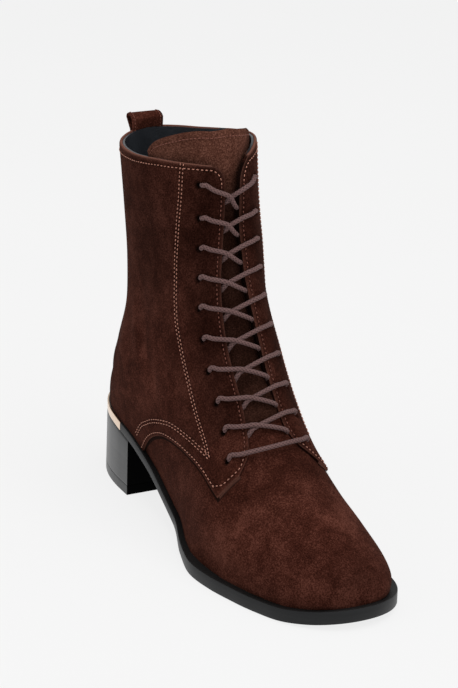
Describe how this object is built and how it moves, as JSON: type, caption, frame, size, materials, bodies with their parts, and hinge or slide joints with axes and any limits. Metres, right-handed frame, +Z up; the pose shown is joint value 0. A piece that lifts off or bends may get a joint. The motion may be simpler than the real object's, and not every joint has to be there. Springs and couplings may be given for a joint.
{
  "type": "block heel boot",
  "caption": "Right ankle boot in dark brown suede on a low block heel, laced at the front, with a side zip, a wide tongue and a pull loop.",
  "frame": {"origin": "on the floor, under the middle of the boot's box", "axes": "+X towards the toe, +Y towards the inner (medial) side with the zip, +Z up"},
  "size_m": [0.275, 0.0904, 0.2258],
  "materials": {
    "upper_suede": "dark brown suede, matt nap",
    "tongue_suede": "dark brown suede, matt nap",
    "sole_black": "satin charcoal",
    "heel_black": "satin charcoal, fine stacked lines",
    "lift_black": "matt black",
    "lining_black": "smooth black",
    "band_gold": "polished pale gold",
    "zip_metal": "antique gold",
    "pull_metal": "antique gold",
    "lace_cord": "round waxed braid"
  },
  "bodies": {
    "boot": {"outsole": "sole_black", "heel": "heel_black", "top_lift": "lift_black", "heel_band": "band_gold", "insole": "lining_black", "upper": "upper_suede", "quarter_lateral": "upper_suede", "quarter_medial": "upper_suede", "tongue": "tongue_suede", "lace_bar": "lace_cord", "lace_cross_1": "lace_cord", "lace_cross_2": "lace_cord", "lace_cross_3": "lace_cord", "lace_cross_4": "lace_cord", "lace_cross_5": "lace_cord", "lace_cross_6": "lace_cord", "lace_cross_7": "lace_cord", "lace_cross_8": "lace_cord", "lace_cross_9": "lace_cord", "pull_loop": "upper_suede", "zip_chain": "zip_metal", "zip_slider": "zip_metal"},
    "pull": {"zip_pull": "pull_metal"}
  },
  "joints": [
    {"name": "pull_tab", "type": "hinge", "parent": "boot", "child": "pull", "pos_m": [-0.07861, 0.03758, 0.20243], "axis": [0.9751, 0.2205, 0.0218], "range_deg": [0, 170]}
  ]
}
